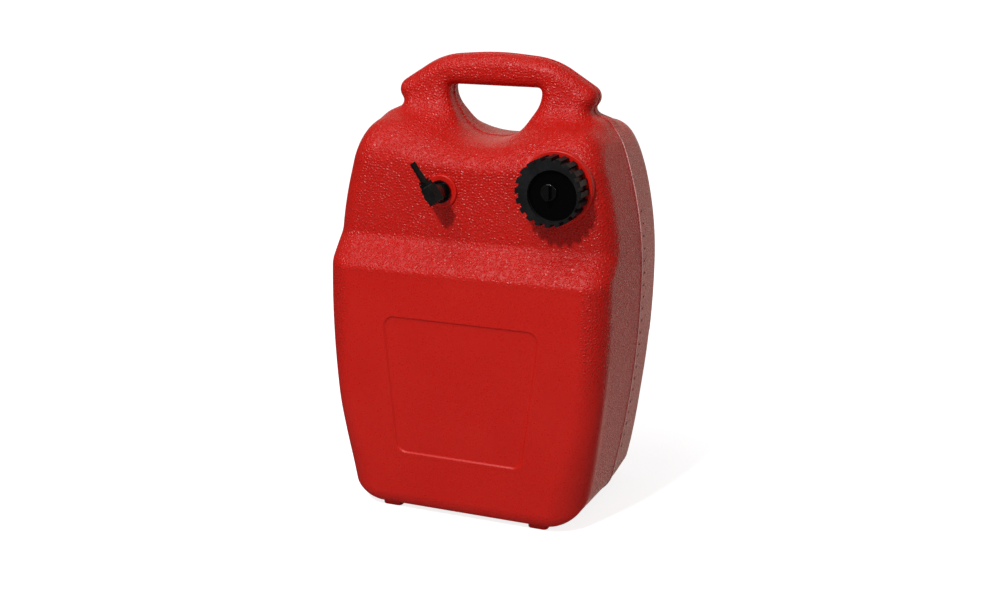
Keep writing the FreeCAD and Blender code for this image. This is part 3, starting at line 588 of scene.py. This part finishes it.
def makeBlack(name, tone, roughness, bumpHeight, grainScale, specular=0.5, dish=None):
    # Moulded black plastic: fine grain, slight scuffing and uneven sheen. A dish is a round, seen from the
    # front, that is smoother than the rest and painted darker: painted shade in the hollow of the dish.
    made, tree, skin = newMaterial(name)
    place = node(tree, "ShaderNodeTexCoord").outputs["Object"]
    fine = node(tree, "ShaderNodeTexNoise", [("Vector", place), ("Scale", grainScale), ("Detail", 4.0)])
    slow = node(tree, "ShaderNodeTexNoise", [("Vector", place), ("Scale", 70.0), ("Detail", 3.0)])
    base = mixColour(tree, mapRange(tree, slow.outputs["Fac"], 0.4, 0.75), tone, [c * 1.7 for c in tone[:3]] + [1])
    rough = mapRange(tree, slow.outputs["Fac"], 0.3, 0.7, roughness - 0.06, roughness + 0.07)
    if dish:
        away = node(tree, "ShaderNodeVectorMath", [(0, place), (1, dish["centre"])], operation="SUBTRACT").outputs[0]
        level = node(tree, "ShaderNodeVectorMath", [(0, away), (1, (1, 0, 1))], operation="MULTIPLY").outputs[0]
        reach = node(tree, "ShaderNodeVectorMath", [(0, level)], operation="LENGTH").outputs["Value"]
        inside = mapRange(tree, reach, dish["radius"] - 0.0003, dish["radius"], 1.0, 0.0)
        base = mixColour(tree, inside, base, dish["tone"])
        rough = mathNode(tree, "ADD", mathNode(tree, "MULTIPLY", rough, mathNode(tree, "SUBTRACT", 1.0, inside)),
                         mathNode(tree, "MULTIPLY", inside, dish["roughness"]))
    tree.links.new(base, skin.inputs["Base Color"])
    tree.links.new(rough, skin.inputs["Roughness"])
    bump = node(tree, "ShaderNodeBump", [("Height", fine.outputs["Fac"]), ("Distance", bumpHeight), ("Strength", 1.0)])
    tree.links.new(bump.outputs[0], skin.inputs["Normal"])
    skin.inputs["Specular IOR Level"].default_value = specular
    return made


capBlack = makeBlack("capBlack", (0.0045, 0.0046, 0.005, 1), 0.4, 0.00006, 900.0, 0.2)
capFace = makeBlack("capFace", (0.0072, 0.0075, 0.0083, 1), 0.5, 0.00006, 900.0, 0.13, capDishShade)
fittingBlack = makeBlack("fittingBlack", (0.005, 0.005, 0.005, 1), 0.27, 0.00005, 1200.0, 0.45)
glossBlack = makeBlack("glossBlack", (0.002, 0.002, 0.002, 1), 0.1, 0.00001, 600.0, 0.6)
sealBlack = makeBlack("sealBlack", (0.018, 0.018, 0.018, 1), 0.62, 0.00005, 1500.0, 0.3)


def makeSteel():
    # Turned stainless steel with fine rings.
    made, tree, skin = newMaterial("brightSteel")
    place = node(tree, "ShaderNodeTexCoord").outputs["Object"]
    rings = node(tree, "ShaderNodeTexNoise", [("Vector", place), ("Scale", 1500.0), ("Detail", 2.0)])
    tree.links.new(mapRange(tree, rings.outputs["Fac"], 0.3, 0.7, 0.22, 0.4), skin.inputs["Roughness"])
    tone = mixColour(tree, rings.outputs["Fac"], (0.52, 0.52, 0.53, 1), (0.66, 0.66, 0.65, 1))
    tree.links.new(tone, skin.inputs["Base Color"])
    skin.inputs["Metallic"].default_value = 1.0
    return made


def makeTube():
    # Natural polyethylene tube, slightly cloudy.
    made, tree, skin = newMaterial("naturalTube")
    place = node(tree, "ShaderNodeTexCoord").outputs["Object"]
    cloud = node(tree, "ShaderNodeTexNoise", [("Vector", place), ("Scale", 90.0), ("Detail", 3.0)])
    tone = mixColour(tree, cloud.outputs["Fac"], (0.62, 0.6, 0.52, 1), (0.78, 0.76, 0.7, 1))
    tree.links.new(tone, skin.inputs["Base Color"])
    tree.links.new(mapRange(tree, cloud.outputs["Fac"], 0.3, 0.7, 0.35, 0.5), skin.inputs["Roughness"])
    return made


steel = makeSteel()
tubeNatural = makeTube()
finishes = {
    "red_shell": redShell, "black_cap": capBlack, "black_fitting": fittingBlack, "black_gloss": glossBlack,
    "seal_rubber": sealBlack, "steel": steel, "tube_plastic": tubeNatural,
}
slotOf = {row["node"]: row["material_slot"] for row in frame["record"]["subparts"]}
for name, obj in frame["nodes"].items():
    obj.data.materials.clear()
    obj.data.materials.append(capFace if name == "cap_shell" else finishes[slotOf[name]])
print("materials")


# Lower wall: grid of level rings, closed at the floor by rings that shrink to the middle
def lowerWall():
    first = wall[0]
    middle = np.array([0.0, 5.0, tank["footHeight"]])
    shares = np.array([0.0, 0.35, 0.6, 0.75, 0.84, 0.9, 0.95])[:, None, None]
    base = middle + (first - middle) * shares
    base[..., 2] = tank["footHeight"]
    base[2:] = settle(base[2:], tankForm, 3)
    grid = np.concatenate([base, wall])
    rows, columns = grid.shape[:2]
    faces = gridFaces(rows, columns, closed=True)
    centre = grid.reshape(-1, 3)[faces].mean(1)
    onPanel = (centre[:, 1] > 60) & (panelDistance(centre[:, 0], centre[:, 2]) < 3.0)
    faces = faces[~onPanel]
    normals = formNormals(grid)
    normals[:2] = [0, 0, -1]  # the pole and the flat ring round it
    return addSurface("tankWall", grid, faces, "tank", redShell, normals)


def crownPiece(name, grid):
    rows, columns = grid.shape[:2]
    faces = gridFaces(rows, columns, closed=True)
    hole = grid.reshape(-1, 3)[faces].mean(1)
    inNeck = (hole[:, 1] > 60) & (np.hypot(hole[:, 0] - pads["cap"][0], hole[:, 2] - pads["cap"][1]) < 30)
    return addSurface(name, grid, faces[~inNeck], "tank", redShell, formNormals(grid))


tankWall = lowerWall()
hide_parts("tank_body")
crownPiece("tankCrownFront", frontCrown)
crownPiece("tankCrownBack", backCrown)
print("tank surfaces")


def frontPanel():
    # Recessed field of the lower front: lines parallel to its outline, from just outside the ledge to the middle.
    half = [(panel["topHalf"], panel["topZ"], panel["corner"]), (panel["lowHalf"], panel["lowZ"], panel["corner"])]
    line = outline(bothSides(half), 2.0)
    ahead = np.roll(line, -1, 0) - np.roll(line, 1, 0)
    outwards = np.stack([ahead[:, 1], -ahead[:, 0]], 1) / np.hypot(*ahead.T)[:, None]
    middle = line.mean(0)
    if ((line - middle) * outwards).sum(1).mean() < 0:
        outwards = -outwards
    away = np.array([7.0, 4.0, 1.5, 0.6, 0.25, 0.0, -0.25, -0.5, -0.8, -1.1, -1.4, -1.8, -2.4, -4.0, -7.0])
    deep = 0.05 - (panel["recess"] + 0.05) * smoothStep(-away, 0.1, panel["ledge"], 0.35)
    deep[0] = -0.4
    rings = line + outwards * away[:, None, None]
    last = rings[-1]
    shares = np.linspace(1, 0, 12)[1:, None, None]
    inner = middle + (last - middle) * shares
    flat = np.concatenate([rings, inner])
    depth = frontDepth(flat[..., 1]) + np.concatenate([deep, np.full(len(inner), -panel["recess"])])[:, None]
    grid = np.stack([flat[..., 0], depth, flat[..., 1]], -1)
    return addSurface("frontPanel", grid, gridFaces(*grid.shape[:2], closed=True), "tank", redShell)


def padPiece(name, x, z, radius, bore, back):
    # Flat round pad with a rounded edge: a profile of radius and depth turned about the pad's axis.
    edge = pads["edge"]
    bend = np.linspace(0, math.pi / 2, 8)
    profile = [(bore, back)] if bore else [(0.0, pads["depth"])]
    profile += [(bore, pads["depth"])] if bore else []
    flat = radius - edge - bore
    profile = np.array(profile + [(bore + flat * t, pads["depth"]) for t in np.linspace(0.02, 0.98, 8)])
    curve = np.stack([radius - edge + edge * np.sin(bend), pads["depth"] - edge + edge * np.cos(bend)], 1)
    profile = np.concatenate([profile, curve, [[radius + 0.3, pads["depth"] - 5.5]]])
    turn = np.linspace(0, 2 * math.pi, 120, endpoint=False)
    grid = np.stack([
        x + profile[:, :1] * np.sin(turn), profile[:, 1:] + 0 * turn, z + profile[:, :1] * np.cos(turn)], -1)
    return addSurface(name, grid, gridFaces(*grid.shape[:2], closed=True), "tank", smoothRed)


frontPanel()
padPiece("capPad", *pads["cap"], 22.0, 86.5)
padPiece("outletPad", *pads["outlet"], 0.0, 0.0)

seam = {"proud": 0.79, "half": 0.9, "count": 760}


def seamBead():
    # Raised line of the mould's parting: a half round profile carried round the outside and round the opening.
    up = wall[:, 0]
    down = wall[::-1, frontCount]
    base = np.stack([np.linspace(up[0, 0], down[-1, 0], 40)[1:-1] * -1, np.zeros(38), np.full(38, tank["footHeight"])], 1)
    outside = np.concatenate([up[:-1], crestPoints, down[1:], -base * [1, 0, -1]]) * [1, 0, 1]
    outside = settle(evenly(outside, seam["count"], closed=True), tankForm, 4, flat=True)
    inside = lip[::4]
    angle = np.linspace(-0.15, math.pi + 0.15, 9)
    for name, line in (("seamOutside", outside), ("seamOpening", inside)):
        line = line * [1, 0, 1]
        out = slope(line, tankForm) * [1, 0, 1]
        out /= np.linalg.norm(out, axis=1, keepdims=True)
        rise = seam["proud"] * np.sin(angle)[None, :, None]
        across = seam["half"] * np.cos(angle)[None, :, None]
        grid = line[:, None] + out[:, None] * rise + np.array([0.0, 1.0, 0.0]) * across
        grid = np.swapaxes(grid, 0, 1)
        faces = gridFaces(*grid.shape[:2], closed=True)
        addSurface(name, grid, faces, "tank", redShell, inwards=name == "seamOpening")


seamBead()

levelScale = {
    "count": 21, "first": 64.8, "pitch": 13.8, "depth": -16.0, "long": 9.0, "short": 5.0, "wide": 2.4, "high": 0.7,
}


def makeLevelMarks():
    # Raised marks behind the right seam, a long one for every two litres and a short one between: each is a patch of
    # the side lifted by a flat-topped bump. Their dark red is painted shade.
    along = np.linspace(-1, 1, 15)[:, None]
    across = np.linspace(-1, 1, 9)
    rise = levelScale["high"] * (1 - along**8) * (1 - across**4) - 0.05
    for k in range(levelScale["count"]):
        z = levelScale["first"] + levelScale["pitch"] * k
        half = levelScale["short" if k % 2 else "long"] / 2
        grid = np.stack(np.broadcast_arrays(
            halfWidth(z) - 3.0, levelScale["depth"] + along * half, z + across * levelScale["wide"] / 2), -1)
        grid = settle(grid, tankForm, 3)
        grid = grid + formNormals(grid) * rise[..., None]
        addSurface(f"levelMark{k + 1}", grid, gridFaces(*grid.shape[:2]), "tank", paintedShadeRed)


makeLevelMarks()
print("panel, pads, seam and level marks")

feet = {"x": 88.5, "wide": 23.0, "long": 26.0, "front": 105.5, "back": 94.0, "corner": 5.0, "round": 1.5}


def makeFeet():
    # Each foot: its outline carried up from the floor into the base, with a rounded lower edge.
    half = [(feet["wide"] / 2, feet["long"] / 2, feet["corner"]), (feet["wide"] / 2, -feet["long"] / 2, feet["corner"])]
    line = outline(bothSides(half), 1.5)
    levels = np.array([
        [0.0, 0.0], [0.55, 0.0], [1 - 2 * feet["round"] / feet["wide"], 0.0], [0.97, 0.45], [1.0, 1.5], [1.0, 15.0]])
    for sign in (-1, 1):
        for label, middle in (("Front", feet["front"] - feet["long"] / 2), ("Back", -feet["back"] + feet["long"] / 2)):
            ring = line[None] * levels[:, :1, None]
            rise = levels[:, 1:] + 0 * ring[..., 0]
            grid = np.stack([sign * feet["x"] + ring[..., 0], middle + ring[..., 1], rise], -1)
            name = "foot" + label + ("Left" if sign < 0 else "Right")
            addSurface(name, grid, gridFaces(*grid.shape[:2], closed=True), "tank", redShell)


makeFeet()

neck = {
    "outer": 26.0, "bore": 22.0, "boreEnd": 86.5, "back": 86.0, "rim": 103.7,
    "lead": 6.0, "thread": 1.1, "first": 92.5, "last": 102.0,
}


def makeNeck():
    # Neck as a turned profile, its outside raised along a helix: the thread's height falls off with the distance
    # in depth from the nearest turn of the helix.
    turn = np.linspace(0, 2 * math.pi, 180, endpoint=False)
    depth = np.linspace(neck["back"], neck["rim"] - 0.6, 60)[:, None]
    phase = ((depth - neck["first"]) / neck["lead"] - turn / (2 * math.pi) + 0.5) % 1 - 0.5
    ridge = np.clip(1.25 - np.abs(phase) * neck["lead"] / 1.1, 0, 1) * np.clip((depth - neck["first"]) / 1.5, 0, 1)
    ridge = ridge * np.clip((neck["last"] - depth) / 1.5, 0, 1)
    outer = neck["outer"] + neck["thread"] * ridge
    tail = np.array([[neck["outer"] - 0.6, neck["rim"]], [neck["bore"] + 0.6, neck["rim"]],
                     [neck["bore"], neck["rim"] - 0.6], [neck["bore"], neck["boreEnd"]]])
    radius = np.concatenate([outer, tail[:, :1] + 0 * turn])
    deep = np.concatenate([depth + 0 * turn, tail[:, 1:] + 0 * turn])
    grid = np.stack([pads["cap"][0] + radius * np.sin(turn), deep, pads["cap"][1] + radius * np.cos(turn)], -1)
    addSurface("fillerNeck", grid, gridFaces(*grid.shape[:2], closed=True), "tank", redShell)


makeNeck()
print("feet and neck")

# Camera, floor and light
view = {
    "azimuth": 21.5, "elevation": 15.12, "roll": 0.27, "focal": 1400.0, "distance": 1610.0, "target": (2.0, 0.0, 232.0),
}


def makeCamera():
    a, e, roll = (math.radians(view[k]) for k in ("azimuth", "elevation", "roll"))
    right = Vector((math.cos(a), math.sin(a), 0))
    ahead = Vector((-math.sin(a) * math.cos(e), math.cos(a) * math.cos(e), -math.sin(e)))
    up = right.cross(ahead)
    turnedRight = math.cos(roll) * right + math.sin(roll) * up
    turnedUp = -math.sin(roll) * right + math.cos(roll) * up
    target = Vector((view["target"][0], view["target"][1] + seamY, view["target"][2])) / 1000
    place = target - ahead * view["distance"] / 1000
    lens = bpy.data.cameras.new("photoCamera")
    lens.sensor_width = 36.0
    lens.lens = 36.0 * view["focal"] / 1000
    lens.clip_end = 50
    camera = bpy.data.objects.new("photoCamera", lens)
    bpy.context.scene.collection.objects.link(camera)
    turned = Matrix((turnedRight, turnedUp, -ahead)).transposed().to_4x4()
    turned.translation = place
    camera.matrix_world = turned
    bpy.context.scene.camera = camera


studio = {
    "floorSpan": 12.0, "floor": (0.64, 0.64, 0.64, 1), "floorNear": 0.83, "floorFar": 0.97, "skyLight": 0.17,
    "keyPower": 37.5, "keySize": 0.18, "keyPlace": (-0.22, -1.9, 2.05),
    "topPower": 17.0, "topSize": 1.5, "topPlace": (-0.5, -0.75, 2.2),
    "glintPower": 1.3, "glintSize": 0.12, "glintPlace": (1.154, -1.114, 1.117),
    "shine": (1.0, 0.86, 0.74, 1), "floorShine": (0.05, 0.05, 0.05, 1),
}


def makeStage():
    # Pale floor that shows white to the camera except where the object's shadow falls on it, and white world.
    # Shiny surfaces see both white only where they look far back, and dark in front.
    span = studio["floorSpan"]
    mesh = bpy.data.meshes.new("floor")
    mesh.from_pydata([(-span, -span, 0), (span, -span, 0), (span, span, 0), (-span, span, 0)], [], [(0, 1, 2, 3)])
    floor = bpy.data.objects.new("floor", mesh)
    bpy.context.scene.collection.objects.link(floor)
    made, tree, skin = newMaterial("paleFloor")
    path = node(tree, "ShaderNodeLightPath")
    place = node(tree, "ShaderNodeTexCoord").outputs["Object"]
    soft = node(tree, "ShaderNodeTexNoise", [("Vector", place), ("Scale", 3.0), ("Detail", 2.0)])
    tone = mixColour(tree, soft.outputs["Fac"], (0.62, 0.62, 0.62, 1), studio["floor"])
    base = mixColour(tree, path.outputs["Is Glossy Ray"], tone, studio["floorShine"])
    tree.links.new(base, skin.inputs["Base Color"])
    skin.inputs["Roughness"].default_value = 0.9
    glow = mixColour(tree, path.outputs["Is Glossy Ray"], (1, 1, 1, 1), studio["shine"])
    tree.links.new(glow, skin.inputs["Emission Color"])
    reach = node(tree, "ShaderNodeVectorMath", [(0, place)], operation="LENGTH").outputs["Value"]
    shown = mapRange(tree, reach, 0.35, 1.6, studio["floorNear"], studio["floorFar"])
    incoming = node(tree, "ShaderNodeNewGeometry").outputs["Incoming"]
    towards = node(tree, "ShaderNodeSeparateXYZ", [(0, incoming)]).outputs[1]
    behind = mapRange(tree, towards, -0.84, -0.62, 1.0, 0.0)
    direct = mathNode(tree, "ADD", path.outputs["Is Camera Ray"], path.outputs["Is Transmission Ray"], clamp=True)
    seen = mathNode(tree, "MAXIMUM", direct, mathNode(tree, "MULTIPLY", path.outputs["Is Glossy Ray"], behind))
    tree.links.new(mathNode(tree, "MULTIPLY", seen, shown), skin.inputs["Emission Strength"])
    mesh.materials.append(made)
    world = bpy.data.worlds.new("studio")
    bpy.context.scene.world = world
    world.use_nodes = True
    tree = world.node_tree
    back = tree.nodes["Background"]
    path = node(tree, "ShaderNodeLightPath")
    direction = node(tree, "ShaderNodeTexCoord").outputs["Generated"]
    ahead = node(tree, "ShaderNodeSeparateXYZ", [(0, direction)]).outputs[1]
    shiny = mathNode(tree, "MULTIPLY", path.outputs["Is Glossy Ray"], mapRange(tree, ahead, 0.62, 0.84))
    seen = mathNode(tree, "ADD", path.outputs["Is Camera Ray"], path.outputs["Is Transmission Ray"], clamp=True)
    seen = mathNode(tree, "MAXIMUM", seen, shiny)
    glow = mixColour(tree, path.outputs["Is Glossy Ray"], (1, 1, 1, 1), studio["shine"])
    tree.links.new(glow, back.inputs["Color"])
    tree.links.new(mathNode(tree, "MAXIMUM", seen, studio["skyLight"]), back.inputs["Strength"])


def makeLamp(name, place, size, power, aim=(0, 0, 0.25)):
    lamp = bpy.data.lights.new(name, "AREA")
    lamp.shape = "DISK"
    lamp.size = size
    lamp.energy = power
    obj = bpy.data.objects.new(name, lamp)
    bpy.context.scene.collection.objects.link(obj)
    ahead = (Vector(aim) - Vector(place)).normalized()
    obj.matrix_world = Matrix.Translation(Vector(place)) @ ahead.to_track_quat("-Z", "Y").to_matrix().to_4x4()


makeCamera()
makeStage()
makeLamp("keyLamp", studio["keyPlace"], studio["keySize"], studio["keyPower"])
makeLamp("topLamp", studio["topPlace"], studio["topSize"], studio["topPower"])
makeLamp("glintLamp", studio["glintPlace"], studio["glintSize"], studio["glintPower"])
bpy.context.scene.view_settings.view_transform = "Standard"
print("stage")
